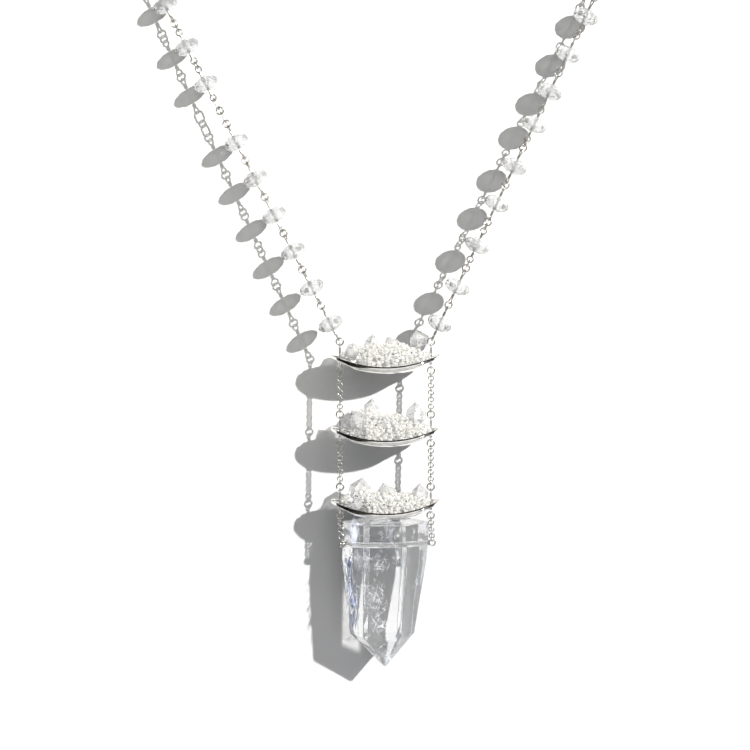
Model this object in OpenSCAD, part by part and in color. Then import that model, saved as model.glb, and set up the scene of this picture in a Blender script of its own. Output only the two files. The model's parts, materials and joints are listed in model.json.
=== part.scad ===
// Quartz ladder necklace: a chain of drilled quartz beads carries three silver trays of crystals
// and a drilled quartz point. Millimetres, +X to the wearer's left, +Z up, front towards -Y.
// The origin is the top of the neck loop, where the back of the neck carries it.

/* [Neck chain] */
// Lean of the left chain from the vertical, degrees
lean_left = 27.3; // [24:0.1:30]
// Lean of the right chain from the vertical, degrees
lean_right = 25.2; // [24:0.1:30]
// Number of beads on the left chain
beads_left_count = 21; // [18:1:24]
// Number of beads on the right chain
beads_right_count = 20; // [18:1:24]
// Outer diameter of the round rings that join the bead wires
ring_od = 2.15; // [2.1:0.05:2.4]
// Wire diameter of those rings
ring_wire = 0.38; // [0.3:0.02:0.4]
// Outer diameter of the eyes of the bead wires
eye_od = 1.9; // [1.8:0.05:2.1]
// Diameter of the bead wire
bead_wire_d = 0.36; // [0.3:0.02:0.4]
// Straight length in each long link of the open link run
long_link_stretch = 1.1; // [0.6:0.1:1.6]

/* [Beads] */
// Girdle diameter of a bead, across the chain
bead_d = 6.5; // [5.5:0.1:7]
// Thickness of a bead, along the chain
bead_t = 3.6; // [3:0.1:4]
// Diameter of the drilled hole of a bead
bead_hole_d = 0.62; // [0.6:0.02:0.8]

/* [Trays] */
// Length of a tray from tip to tip
tray_len = 27.5; // [26:0.5:29]
// Depth of a tray from front to back
tray_depth = 13.2; // [12.6:0.2:14]
// Depth of the bowl of a tray at its middle, over the outside
bowl_depth = 2.2; // [2:0.1:2.6]
// Fall of the rim from the tips to the middle
rim_sag = 2.6; // [2.2:0.1:3]
// Wall of a tray
tray_wall = 0.8; // [0.6:0.1:1]
// Distance of the eye pin holes from the middle of a tray
pin_x = 11.4; // [11.2:0.1:11.6]

/* [Ladder chain] */
// Outer diameter of the fine round links
link_od = 1.57; // [1.5:0.01:1.7]
// Wire diameter of the fine links
link_wire = 0.28; // [0.24:0.02:0.3]

/* [Quartz point] */
// Diameter of the drilled hole of the point
point_hole_d = 1.5; // [1.4:0.1:1.8]
// Distance of the point behind the plane of the chains
point_back = 0.8; // [0.7:0.1:0.9]

/* [Hidden] */
$fn = 24;
LEFT = -1;
RIGHT = 1;

// Clear space between two linked wires, and between a bead and its wraps
play = 0.12;
// Extra depth by which a cutting cylinder passes a face
cut_over = 1;

// Rings, eyes and links: centre-line radii, then the centre distances of linked pairs
ring_r = (ring_od - ring_wire) / 2;
eye_r = (eye_od - bead_wire_d) / 2;
link_r = (link_od - link_wire) / 2;
eye_to_ring = eye_r + ring_r - (bead_wire_d + ring_wire) / 2 - play;
ring_to_ring = 2 * ring_r - ring_wire - play;
eye_to_eye = 2 * eye_r - bead_wire_d - play;
ring_to_link = ring_r + link_r - (ring_wire + link_wire) / 2 - play;
link_to_link = 2 * link_r - link_wire - play;
eye_to_link = eye_r + link_r - (bead_wire_d + link_wire) / 2 - play;

// A bead wire: wrap collars beside the bead, an eye beyond each
wrap_d = 0.72;
wrap_len = 1.2;
eye_reach = bead_t / 2 + play + wrap_len + eye_r;
// Most that the rolls of neighbouring bead wires swing from the square
roll_swing = 22;

// Rings between one bead and the next, from the pendant up; every later gap has one
RINGS_LEFT = [1, 1, 1, 1, 1, 4, 1, 2];
RINGS_RIGHT = [1, 2, 2, 1, 2, 0, 1, 1];

// Clasp: a plain spring ring with a fused eye
clasp_ring_d = 6.0;
clasp_wire = 0.62;
clasp_r = (clasp_ring_d - clasp_wire) / 2;
clasp_reach = clasp_r + clasp_wire / 2 + eye_r - bead_wire_d / 2;
ring_to_clasp = ring_r + clasp_r - (ring_wire + clasp_wire) / 2 - play;

// Eye pins of a tray: ring centres above and below the level of the tray's tips
pin_wire = 0.36;
pin_eye_od = 1.5;
pin_eye_r = (pin_eye_od - pin_wire) / 2;
pin_to_ring = pin_eye_r + ring_r - (pin_wire + ring_wire) / 2 - play;
ring_above = 3.2;
ring_below = 4.04;
pin_hole_d = 0.66;
pin_collar_d = 0.64;
pin_stop_d = 0.9;
pin_stop_drop = 0.42;
pin_collar_len = 1.4;

// Link counts of the ladder's runs
ladder_links = 11;
drop_links = 7;
tray_step = ring_above + ring_below + 2 * ring_to_link + (ladder_links - 1) * link_to_link;

// The neck loop: two straight runs that meet a circle, whose radius follows from the length
chain_total = end_ring_s(RINGS_LEFT, beads_left_count) + ring_to_clasp + clasp_reach
    + eye_to_ring + end_ring_s(RINGS_RIGHT, beads_right_count);
secants = 1 / cos(lean_left) + 1 / cos(lean_right);
tangents = tan(lean_left) + tan(lean_right);
arc_share = secants * secants / tangents - tangents + PI * (180 + lean_left + lean_right) / 180;
loop_r = (chain_total + 2 * pin_x * secants / tangents) / arc_share;
loop_rise = (loop_r * secants - 2 * pin_x) / tangents;
hang_z = -loop_r - loop_rise;
pendant_x = pin_x + loop_rise * tan(lean_left) - loop_r / cos(lean_left);

// Tip levels of the three trays
tray_z = [for (i = [0:2]) hang_z - ring_above - i * tray_step];

// Quartz point: rows from its top to its shoulder, and its tip, from the pendant's middle
//   down: below the tray tips   l, r: side edges   fl, fr: front edges   bl, br: back edges
//   half: half depth
POINT_DOWN = 0;
POINT_L = 1;
POINT_R = 2;
POINT_FL = 3;
POINT_FR = 4;
POINT_BL = 5;
POINT_BR = 6;
POINT_HALF = 7;
POINT_ROWS = [
    [5.7, -10.8, 10.7, -5.6, 4.8, -3.9, 3.7, 7.4],
    [14.9, -11.0, 10.1, -5.5, 5.1, -3.8, 3.7, 7.4],
    [34.3, -8.0, 7.3, -4.4, 3.9, -3.3, 2.8, 5.8]
];
point_tip = [-0.1, 0, -42.1];
point_sides = 6;
point_vertices = concat([for (row = POINT_ROWS) each point_corners(row)], [point_tip]);
point_faces = prism_faces(len(POINT_ROWS), point_sides);
point_middle = middle_of(point_vertices, point_faces);

// The hole runs over the point's centre of gravity, turned so that it leaves the left front face
hole_turn = 5;
point_hole_y = point_back + point_middle[1];
left_eye_reach = 11.0;
right_eye_reach = 11.9;
drop_len = ring_to_link + (drop_links - 1) * link_to_link + eye_to_link;
point_hole_z = -ring_below - (drop_fall(LEFT) + drop_fall(RIGHT)) / 2;

// The wire in the hole: a thick rod with a thin end, a wrap and an eye on either side
rod_d = point_hole_d - 0.2;
rod_left = 9.5;
rod_right = 9.3;
hole_wrap_len = 0.3;

// Stones of each tray, measured from its middle; a stone rests on the tray's floor unless lifted
//   x, y: place   lift: height on the stones below   w: width over the corners
//   l: length from point to point   lean: in the picture plane   nod: from front to back
//   spin: about its own length
STONE_LIFT = 2;
STONE_W = 3;
STONE_L = 4;
STONE_LEAN = 5;
STONE_NOD = 6;
STONE_SPIN = 7;
TOP_STONES = [
    [-8.2, 2.0, 1.2, 3.9, 4.6, 74, 8, 10],
    [-3.6, 2.4, 2.2, 4.0, 6.6, 16, -6, 24],
    [-0.2, -0.8, 0.6, 3.6, 4.2, 62, 20, 40],
    [1.6, 3.2, 2.8, 4.2, 5.4, -20, 10, 5],
    [5.0, 0.8, 1.6, 3.8, 4.8, 20, -10, 50],
    [8.5, 3.0, 1.9, 5.2, 6.2, -8, 6, 16]
];
MIDDLE_STONES = [
    [-9.5, 2.3, 0.7, 2.8, 3.2, 60, 0, 20],
    [-7.0, -0.6, 2.4, 4.4, 6.0, -24, 6, 12],
    [-3.6, 2.4, 3.8, 4.6, 6.8, 10, 4, 30],
    [-0.3, -1.4, 2.6, 4.0, 5.0, 70, 10, 8],
    [3.2, 1.8, 2.8, 4.4, 5.2, -58, 12, 44],
    [7.6, 0.4, 2.6, 5.6, 6.8, 6, -8, 22]
];
BOTTOM_STONES = [
    [-6.4, 2.2, 0.9, 6.0, 7.4, 14, 6, 0],
    [-7.4, -1.9, 0.0, 3.0, 3.8, 56, 18, 30],
    [0.2, 1.8, 1.2, 5.4, 6.8, -8, 8, 14],
    [4.6, -0.6, 1.2, 3.4, 4.4, 64, 0, 26],
    [8.6, 0.6, 0.8, 4.2, 5.8, 8, -6, 6],
    [-2.9, -1.45, 1.0, 3.4, 4.0, -50, 10, 18]
];
CHIPS = [
    [-5.6, -4.0, 0, 2.2, 2.8, 64, 12, 10],
    [-2.7, -4.2, 0, 2.4, 3.0, -66, 0, 34],
    [0.2, -4.3, 0, 2.4, 2.9, 72, 10, 52],
    [3.1, -4.2, 0, 2.4, 3.0, -70, 14, 16],
    [6.0, -3.9, 0, 2.4, 2.9, 60, -8, 40],
    [8.5, -2.9, 0, 2.2, 2.8, -62, 6, 24],
    [2.6, -1.8, 0, 2.6, 3.2, 80, 14, 30]
];
stone_gap = 0.15;

// Share of a stone's length that its prism takes, and the uneven corner radii of a grown crystal
PRISM_SHARE = 0.3;
CORNERS = [1, 0.9, 1, 0.94, 1, 0.86];

// Drop of a straight chain of length l whose lower end lies dx and dy aside of its upper end
function chain_fall(l, dx, dy) = sqrt(l * l - dx * dx - dy * dy);

// Eye of the wire through the point, from the pendant's middle at the level of the tips
function wire_eye_xy(side) = let (a = side == LEFT ? -left_eye_reach : right_eye_reach)
    [a * cos(hole_turn), point_hole_y + a * sin(hole_turn)];
function wire_eye(side) = [wire_eye_xy(side)[0], wire_eye_xy(side)[1], point_hole_z];
function drop_fall(side) = let (e = wire_eye_xy(side)) chain_fall(drop_len, e[0] - side * pin_x, e[1]);

// Corners of one row of the quartz point
function point_corners(row) = [
    [row[POINT_L], 0, -row[POINT_DOWN]],
    [row[POINT_FL], -row[POINT_HALF], -row[POINT_DOWN]],
    [row[POINT_FR], -row[POINT_HALF], -row[POINT_DOWN]],
    [row[POINT_R], 0, -row[POINT_DOWN]],
    [row[POINT_BR], row[POINT_HALF], -row[POINT_DOWN]],
    [row[POINT_BL], row[POINT_HALF], -row[POINT_DOWN]]
];

// Triangles of a column of rings of corners, closed by a flat top and one tip
function prism_faces(rows, sides) = concat(
    [for (i = [2:sides - 1]) [0, i, i - 1]],
    [for (j = [0:rows - 2], i = [0:sides - 1])
        let (n = (i + 1) % sides, a = j * sides + i, b = j * sides + n)
        each [[a, b, b + sides], [a, b + sides, a + sides]]],
    [for (i = [0:sides - 1]) [(rows - 1) * sides + i, (rows - 1) * sides + (i + 1) % sides, rows * sides]]
);

// Centre of gravity of a closed body of triangles, from the tetrahedra over its faces
function middle_of(v, faces) =
    let (
        weights = [for (f = faces) v[f[0]] * cross(v[f[1]], v[f[2]])],
        moments = [for (i = [0:len(faces) - 1]) let (f = faces[i]) weights[i] * (v[f[0]] + v[f[1]] + v[f[2]]) / 4],
        ones = [for (f = faces) 1]
    )
    (ones * moments) / (ones * weights);

// Number of rings between bead k and the next
function ring_count(table, k) = k < len(table) ? table[k] : 1;

// Length between the two eyes that a run of n rings joins
function run_len(n) = n == 0 ? eye_to_eye
    : 2 * eye_to_ring + (n - 1) * ring_to_ring + (n > 2 ? floor(n / 2) * long_link_stretch : 0);

// Distance of ring i from the first eye of a run of n rings; in a long run every second is long
function ring_offset(i, n) = eye_to_ring + i * ring_to_ring
    + (n > 2 ? (floor(i / 2) + (i % 2) / 2) * long_link_stretch : 0);

// Distance of bead k from the pendant's ring, along the chain
function bead_s(table, k) = k == 0 ? eye_to_ring + eye_reach
    : bead_s(table, k - 1) + 2 * eye_reach + run_len(ring_count(table, k - 1));

// Distance of the last ring of a chain of count beads
function end_ring_s(table, count) = bead_s(table, count - 1) + eye_reach + eye_to_ring;

// Linked pairs below bead k, each of which turns the chain by a right angle
function joint_count(table, k) = k == 0 ? 1 : joint_count(table, k - 1) + ring_count(table, k - 1) + 1;

// Roll of bead wire k about the chain; the beads at the back hang square
function bead_roll(table, k) = 90 * joint_count(table, k) + (k < 10 ? roll_swing * sin(97 * k + 20) : 0);

function lean(side) = side == LEFT ? lean_left : lean_right;
function straight_len(side) = (loop_rise - loop_r * sin(lean(side))) / cos(lean(side));

// Point of a side's chain at distance s from its ring on the pendant
function chain_point(side, s) = s < straight_len(side)
    ? [pendant_x + side * (pin_x + s * sin(lean(side))), 0, hang_z + s * cos(lean(side))]
    : arc_point(side, 180 + lean(side) - (s - straight_len(side)) / loop_r * 180 / PI);
function arc_point(side, a) = [-side * loop_r * cos(a), 0, loop_r * sin(a) - loop_r];

// Direction of the chain at distance s
function chain_dir(side, s) = chain_point(side, s + play) - chain_point(side, s - play);

// Puts a child's Z axis along v at p, turned by roll about it
module along(p, v, roll) {
    turn = atan2(v[1], v[0]);
    translate(p)
        rotate([0, acos(v[2] / norm(v)), turn])
        rotate([0, 0, roll - turn])
        children();
}

// Round ring that faces the front
module ring(r, wire) {
    rotate([90, 0, 0])
        rotate_extrude()
        translate([r, 0])
        circle(d = wire);
}

// Long link that faces the front, its straight stretch along Z
module long_link(r, wire, stretch) {
    for (end = [-1, 1])
        translate([0, 0, end * stretch / 2])
        rotate([90, end > 0 ? 0 : 180, 0])
        rotate_extrude(angle = 180)
        translate([r, 0])
        circle(d = wire);
    for (side = [LEFT, RIGHT])
        translate([side * r, 0, -stretch / 2])
        cylinder(d = wire, h = stretch);
}

// Wire through a bead, with a wrap collar and an eye at each end
module bead_wire() {
    color("silver") {
        cylinder(d = bead_wire_d, h = 2 * (eye_reach - eye_r), center = true);
        for (end = [-1, 1]) {
            translate([0, 0, end * (eye_reach - eye_r - wrap_len / 2 + play / 2)])
                cylinder(d = wrap_d, h = wrap_len - play, center = true);
            translate([0, 0, end * eye_reach])
                ring(eye_r, bead_wire_d);
        }
    }
}

// Faceted rondelle, drilled along Z: rings of twelve corners, every second ring half a step on
module rondelle() {
    sides = 12;
    rows = [
        [bead_d * 0.21, bead_t / 2, 0],
        [bead_d * 0.42, bead_t * 0.31, 0.5],
        [bead_d / 2, bead_t * 0.07, 0],
        [bead_d / 2, -bead_t * 0.07, 0],
        [bead_d * 0.42, -bead_t * 0.31, 0.5],
        [bead_d * 0.21, -bead_t / 2, 0]
    ];
    points = [for (row = rows, i = [0:sides - 1])
        let (a = 360 * (i + row[2]) / sides) [row[0] * cos(a), row[0] * sin(a), row[1]]];
    // The band below row j, split along the shorter diagonals of its half-step offset
    band = [for (j = [0:len(rows) - 2], i = [0:sides - 1])
        let (n = (i + 1) % sides, a = j * sides + i, b = j * sides + n, c = a + sides, d = b + sides)
        each rows[j][2] > rows[j + 1][2] ? [[a, d, c], [a, b, d]] : [[a, b, c], [b, d, c]]];
    last = (len(rows) - 1) * sides;
    color("whitesmoke")
        difference() {
            polyhedron(points, concat(
                [[for (i = [sides - 1:-1:0]) i]],
                band,
                [[for (i = [0:sides - 1]) last + i]]
            ));
            cylinder(d = bead_hole_d, h = bead_t + 2 * cut_over, center = true);
        }
}

// Puts a child on bead k of a side's chain, its Z axis along the chain
module on_bead(side, table, k) {
    s = bead_s(table, k);
    low = chain_point(side, s - eye_reach);
    high = chain_point(side, s + eye_reach);
    along((low + high) / 2, high - low, bead_roll(table, k))
        children();
}

// Puts a child at distance s of a side's chain
module on_chain(side, s, roll) {
    along(chain_point(side, s), chain_dir(side, s), roll)
        children();
}

// Rings of the run above bead k
module ring_run(side, table, k) {
    n = ring_count(table, k);
    start = bead_s(table, k) + eye_reach;
    turn = (bead_roll(table, k + 1) - bead_roll(table, k)) / (n + 1);
    if (n > 0)
        for (i = [0:n - 1])
            on_chain(side, start + ring_offset(i, n), bead_roll(table, k) + (i + 1) * turn)
                if (n > 2 && i % 2 == 1)
                    long_link(ring_r, ring_wire, long_link_stretch);
                else
                    ring(ring_r, ring_wire);
}

// Bead wires and rings of one side, from the pendant's ring to the ring at the clasp
module neck_chain(side, table, count) {
    color("silver") {
        for (s = [0, end_ring_s(table, count)])
            on_chain(side, s, 0)
                ring(ring_r, ring_wire);
        for (k = [0:count - 2])
            ring_run(side, table, k);
    }
    for (k = [0:count - 1])
        on_bead(side, table, k)
            bead_wire();
}

module neck_beads(side, table, count) {
    for (k = [0:count - 1])
        on_bead(side, table, k)
            rondelle();
}

// Spring ring with its eye, at the back of the neck
module clasp() {
    start = end_ring_s(RINGS_LEFT, beads_left_count) + ring_to_clasp;
    near = chain_point(LEFT, start);
    far = chain_point(LEFT, start + clasp_reach);
    color("silver")
        along(near, far - near, 90) {
            ring(clasp_r, clasp_wire);
            translate([0, 0, clasp_reach])
                ring(eye_r, bead_wire_d);
        }
}

// Tray outline, a long oval with rounded ends: t runs from -1 at the left tip to 1 at the right tip
function smooth(a, b, t) = let (u = min(max((t - a) / (b - a), 0), 1)) u * u * (3 - 2 * u);
function tray_half_width(t) = tray_depth / 2 * pow(1 - pow(abs(t), 3.2), 0.52);
function tray_bowl(t) = (bowl_depth - tray_wall) * (1 - smooth(0.5, 0.95, abs(t)));
function tray_rim(t) = -rim_sag * pow(1 - t * t, 1.2);

// Height of the tray's inner floor, and of its rim beyond the floor
function tray_floor(x, y) =
    let (
        t = min(abs(x) / (tray_len / 2), 1),
        inner_w = tray_half_width(t) - tray_wall,
        share = inner_w > 0 ? min(abs(y) / inner_w, 1) : 1
    )
    tray_rim(t) - tray_bowl(t) * sqrt(1 - share * share);

// Long oval tray with a rounded bowl, bent so that its tips stand up, and a hole near each tip
module tray(z) {
    stations = 24;
    arc_steps = 10;
    tip_share = 0.995;
    ring_points = 2 * (arc_steps + 1);
    section = [for (i = [0:stations])
        let (
            t = tip_share * sin(180 * i / stations - 90),
            w = tray_half_width(t),
            inner_w = w - min(tray_wall, w * 0.45),
            rim = tray_rim(t)
        )
        [
            for (j = [0:arc_steps]) let (a = 180 * j / arc_steps - 90)
                [t * tray_len / 2, w * sin(a), rim - (tray_wall + tray_bowl(t)) * cos(a)],
            for (j = [arc_steps:-1:0]) let (a = 180 * j / arc_steps - 90)
                [t * tray_len / 2, inner_w * sin(a), rim - tray_bowl(t) * cos(a)]
        ]];
    points = [for (s = section) each s];
    left_cap = len(points);
    right_cap = left_cap + 1;
    first = stations * ring_points;
    sides = [for (i = [0:stations - 1], j = [0:ring_points - 1])
        let (n = (j + 1) % ring_points, a = i * ring_points + j, b = i * ring_points + n,
            c = a + ring_points, d = b + ring_points)
        each [[a, c, b], [b, c, d]]];
    caps = [for (j = [0:ring_points - 1]) let (n = (j + 1) % ring_points)
        each [[left_cap, j, n], [right_cap, first + n, first + j]]];
    cap_low = [0, 0, -tray_wall / 2];
    color("gainsboro")
        translate([pendant_x, 0, z])
        difference() {
            polyhedron(concat(points, [
                [-tip_share * tray_len / 2, 0, tray_rim(tip_share)] + cap_low,
                [tip_share * tray_len / 2, 0, tray_rim(tip_share)] + cap_low
            ]), concat(sides, caps));
            for (side = [LEFT, RIGHT])
                translate([side * pin_x, 0, -bowl_depth - rim_sag - cut_over])
                    cylinder(d = pin_hole_d, h = bowl_depth + rim_sag + 2 * cut_over);
        }
}

// Eye pin through a tray: an eye and a wrap above, a stop and an eye below
module eye_pin(side, z) {
    t = pin_x / (tray_len / 2);
    plate_low = tray_rim(t) - tray_wall - tray_bowl(t);
    top_eye = ring_above - pin_to_ring;
    low_eye = pin_to_ring - ring_below;
    wrap_top = top_eye - pin_eye_r + play / 2;
    stop_top = plate_low - pin_stop_drop;
    color("silver")
        translate([pendant_x + side * pin_x, 0, z]) {
            for (eye = [top_eye, low_eye])
                translate([0, 0, eye])
                rotate([0, 0, 90])
                    ring(pin_eye_r, pin_wire);
            translate([0, 0, low_eye + pin_eye_r])
                cylinder(d = pin_wire, h = top_eye - low_eye - 2 * pin_eye_r);
            translate([0, 0, wrap_top - pin_collar_len])
                cylinder(d = pin_collar_d, h = pin_collar_len);
            translate([0, 0, low_eye + pin_eye_r - play / 2])
                cylinder(d = pin_stop_d, h = stop_top - low_eye - pin_eye_r + play / 2);
        }
}

// Fine links from the ring at p along v, whose pitches together make the length full
module link_run(p, v, count, full) {
    for (i = [0:count - 1])
        along(p + v * (ring_to_link + i * link_to_link) / full, -v, 90 * (i + 1))
            ring(link_r, link_wire);
}

// Side chain between two trays, with its ring at each end
module ladder(side, z) {
    top = [pendant_x + side * pin_x, 0, z - ring_below];
    low = top - [0, 0, tray_step - ring_above - ring_below];
    color("silver") {
        for (p = [top, low])
            translate(p)
                ring(ring_r, ring_wire);
        link_run(top, low - top, ladder_links, norm(low - top));
    }
}

// Side chain from the lowest tray to an eye of the wire through the point
module drop_chain(side) {
    top = [pendant_x + side * pin_x, 0, tray_z[2] - ring_below];
    eye = [pendant_x, 0, tray_z[2]] + wire_eye(side);
    color("silver") {
        translate(top)
            ring(ring_r, ring_wire);
        link_run(top, eye - top, drop_links, drop_len);
    }
}

// Puts a child in the point's hole, its X axis along the hole
module in_hole() {
    translate([pendant_x, point_hole_y, tray_z[2] + point_hole_z])
        rotate([0, 0, hole_turn])
        children();
}

// Wire through the point: the rod lies in the hole, and each thin end has a wrap and an eye
module point_wire() {
    color("silver")
        in_hole() {
            translate([-rod_left, 0, 0])
                rotate([0, 90, 0])
                cylinder(d = rod_d, h = rod_left + rod_right);
            translate([eye_r - left_eye_reach, 0, 0])
                rotate([0, 90, 0])
                cylinder(d = bead_wire_d, h = left_eye_reach + right_eye_reach - 2 * eye_r);
            for (end = [eye_r - left_eye_reach, right_eye_reach - eye_r - hole_wrap_len])
                translate([end, 0, 0])
                rotate([0, 90, 0])
                cylinder(d = wrap_d, h = hole_wrap_len);
            for (end = [-left_eye_reach, right_eye_reach])
                translate([end, 0, 0])
                    ring(eye_r, bead_wire_d);
        }
}

// Six-sided quartz point with a flat top, drilled from side to side
module quartz_point() {
    color("whitesmoke")
        difference() {
            translate([pendant_x, point_back, tray_z[2]])
                polyhedron(point_vertices, point_faces);
            in_hole()
                rotate([0, 90, 0])
                cylinder(d = point_hole_d, h = 3 * pin_x, center = true);
        }
}

// Corners of a natural crystal with a point at both ends, about its middle, its length along Z
function crystal_corners(stone) = concat(
    [for (level = [-1, 1], i = [0:5]) [
        stone[STONE_W] / 2 * CORNERS[i] * cos(60 * i),
        stone[STONE_W] / 2 * CORNERS[i] * sin(60 * i),
        level * stone[STONE_L] / 2 * PRISM_SHARE
    ]],
    [
        [0.04 * stone[STONE_W], 0, -stone[STONE_L] / 2],
        [-0.05 * stone[STONE_W], 0.03 * stone[STONE_W], stone[STONE_L] / 2]
    ]
);

// Point p turned by the angle a about one axis
function turn_x(p, a) = [p[0], p[1] * cos(a) - p[2] * sin(a), p[1] * sin(a) + p[2] * cos(a)];
function turn_y(p, a) = [p[0] * cos(a) + p[2] * sin(a), p[1], p[2] * cos(a) - p[0] * sin(a)];
function turn_z(p, a) = [p[0] * cos(a) - p[1] * sin(a), p[0] * sin(a) + p[1] * cos(a), p[2]];

// A crystal's corners as it lies, and the height of its middle when its lowest corner meets the floor
function lying_corners(stone) = [for (p = crystal_corners(stone))
    turn_y(turn_x(turn_z(p, stone[STONE_SPIN]), stone[STONE_NOD]), stone[STONE_LEAN])];
function resting_height(stone) = stone_gap + stone[STONE_LIFT]
    + max([for (p = lying_corners(stone)) tray_floor(stone[0] + p[0], stone[1] + p[1]) - p[2]]);

// Natural quartz crystal in the tray at level z: six prism faces and twelve point faces
module crystal(z, stone) {
    sides = 6;
    low_tip = 2 * sides;
    faces = [for (i = [0:sides - 1]) let (n = (i + 1) % sides)
        each [[i, i + sides, n + sides, n], [i, n, low_tip], [i + sides, low_tip + 1, n + sides]]];
    color("whitesmoke")
        translate([pendant_x + stone[0], stone[1], z + resting_height(stone)])
        polyhedron(lying_corners(stone), faces);
}

module chips(z) {
    for (chip = CHIPS)
        crystal(z, chip);
}

neck_chain(LEFT, RINGS_LEFT, beads_left_count);  // chain_left
neck_chain(RIGHT, RINGS_RIGHT, beads_right_count);  // chain_right
neck_beads(LEFT, RINGS_LEFT, beads_left_count);  // beads_left
neck_beads(RIGHT, RINGS_RIGHT, beads_right_count);  // beads_right
clasp();
tray(tray_z[0]);  // tray_top
tray(tray_z[1]);  // tray_middle
tray(tray_z[2]);  // tray_bottom
eye_pin(LEFT, tray_z[0]);  // pin_top_left
eye_pin(RIGHT, tray_z[0]);  // pin_top_right
eye_pin(LEFT, tray_z[1]);  // pin_middle_left
eye_pin(RIGHT, tray_z[1]);  // pin_middle_right
eye_pin(LEFT, tray_z[2]);  // pin_bottom_left
eye_pin(RIGHT, tray_z[2]);  // pin_bottom_right
ladder(LEFT, tray_z[0]);  // ladder_upper_left
ladder(RIGHT, tray_z[0]);  // ladder_upper_right
ladder(LEFT, tray_z[1]);  // ladder_lower_left
ladder(RIGHT, tray_z[1]);  // ladder_lower_right
drop_chain(LEFT);  // drop_chain_left
drop_chain(RIGHT);  // drop_chain_right
crystal(tray_z[0], TOP_STONES[0]);  // stone_top_1
crystal(tray_z[0], TOP_STONES[1]);  // stone_top_2
crystal(tray_z[0], TOP_STONES[2]);  // stone_top_3
crystal(tray_z[0], TOP_STONES[3]);  // stone_top_4
crystal(tray_z[0], TOP_STONES[4]);  // stone_top_5
crystal(tray_z[0], TOP_STONES[5]);  // stone_top_6
crystal(tray_z[1], MIDDLE_STONES[0]);  // stone_middle_1
crystal(tray_z[1], MIDDLE_STONES[1]);  // stone_middle_2
crystal(tray_z[1], MIDDLE_STONES[2]);  // stone_middle_3
crystal(tray_z[1], MIDDLE_STONES[3]);  // stone_middle_4
crystal(tray_z[1], MIDDLE_STONES[4]);  // stone_middle_5
crystal(tray_z[1], MIDDLE_STONES[5]);  // stone_middle_6
crystal(tray_z[2], BOTTOM_STONES[0]);  // stone_bottom_1
crystal(tray_z[2], BOTTOM_STONES[1]);  // stone_bottom_2
crystal(tray_z[2], BOTTOM_STONES[2]);  // stone_bottom_3
crystal(tray_z[2], BOTTOM_STONES[3]);  // stone_bottom_4
crystal(tray_z[2], BOTTOM_STONES[4]);  // stone_bottom_5
crystal(tray_z[2], BOTTOM_STONES[5]);  // stone_bottom_6
chips(tray_z[0]);  // chips_top
chips(tray_z[1]);  // chips_middle
chips(tray_z[2]);  // chips_bottom
point_wire();
quartz_point();
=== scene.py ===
"""Dresses the quartz ladder necklace and its studio. Metres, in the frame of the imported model.

The necklace hangs in front of a white paper backdrop: a chain of faceted quartz beads carries three
polished silver trays of loose crystals, and a drilled quartz point hangs under the lowest tray.
"""

from __future__ import annotations

import json
import logging
import math
import random
from collections.abc import Iterable, Sequence
from dataclasses import dataclass, field
from enum import Enum

import bmesh
import bpy
import numpy as np
from bpy.types import Material, Mesh, Node, NodeSocket, NodeTree, Object
from mathutils import Matrix, Vector
from mathutils.bvhtree import BVHTree

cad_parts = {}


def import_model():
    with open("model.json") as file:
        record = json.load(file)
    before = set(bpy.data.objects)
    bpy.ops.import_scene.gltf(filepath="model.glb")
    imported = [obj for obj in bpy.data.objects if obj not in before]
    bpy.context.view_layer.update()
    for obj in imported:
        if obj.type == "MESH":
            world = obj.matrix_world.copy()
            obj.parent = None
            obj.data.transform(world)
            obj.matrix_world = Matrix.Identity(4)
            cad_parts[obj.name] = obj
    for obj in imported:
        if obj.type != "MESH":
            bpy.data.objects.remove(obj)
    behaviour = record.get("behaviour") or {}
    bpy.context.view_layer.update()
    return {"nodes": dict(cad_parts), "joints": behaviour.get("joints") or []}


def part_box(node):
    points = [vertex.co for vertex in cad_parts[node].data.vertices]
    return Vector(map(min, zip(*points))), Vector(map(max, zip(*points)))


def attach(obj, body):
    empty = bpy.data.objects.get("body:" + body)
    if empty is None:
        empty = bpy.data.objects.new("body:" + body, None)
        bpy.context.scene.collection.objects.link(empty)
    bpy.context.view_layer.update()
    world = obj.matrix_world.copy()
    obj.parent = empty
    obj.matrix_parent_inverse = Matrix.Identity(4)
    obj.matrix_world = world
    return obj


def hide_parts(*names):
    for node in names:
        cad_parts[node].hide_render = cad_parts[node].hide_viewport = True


LOG = logging.getLogger("necklace")
MM = 0.001

# Corners that lie closer than this are one corner
MERGE_MM = 0.001
# Nearly all of a noise texture lies between these two values
NOISE_RANGE = (0.3, 0.7)
# The way to the main lamp. Along its rays x + SIDE_SLOPE * y and z + RISE_SLOPE * y stay the same.
LAMP_WAY = (0.562, -0.724, 0.399)
SIDE_SLOPE = -LAMP_WAY[0] / LAMP_WAY[1]
RISE_SLOPE = -LAMP_WAY[2] / LAMP_WAY[1]

# How high the small crystals lie along each tray, in millimetres from its middle and above its tips
BED_PROFILES = {
    "top": [(-10.5, 0.8), (-8, 2.6), (-6, 1.8), (-3, 3.2), (-1, 2.6),
            (2, 3.4), (5, 2.8), (7, 1.8), (11, 0.6)],
    "middle": [(-11, 0.4), (-9.5, 2.0), (-7, 4.2), (-4, 5.2), (-1.6, 3.6), (2.2, 3.6), (7, 2.6), (11, 0.5)],
    "bottom": [(-10.8, 0.6), (-8.5, 2.4), (-5.5, 3.4), (-3, 1.9),
               (0.5, 2.8), (3, 1.8), (8.3, 1.6), (10.5, 0.5)],
}


class Side(Enum):
    """The two sides of the necklace, of the point and of each bead."""

    LEFT = -1
    RIGHT = 1


class Lie(Enum):
    """How the flakes of a veil lie inside the point."""

    TUMBLED = "tumbled"
    UPRIGHT = "upright"


# Colours and nodes


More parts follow.
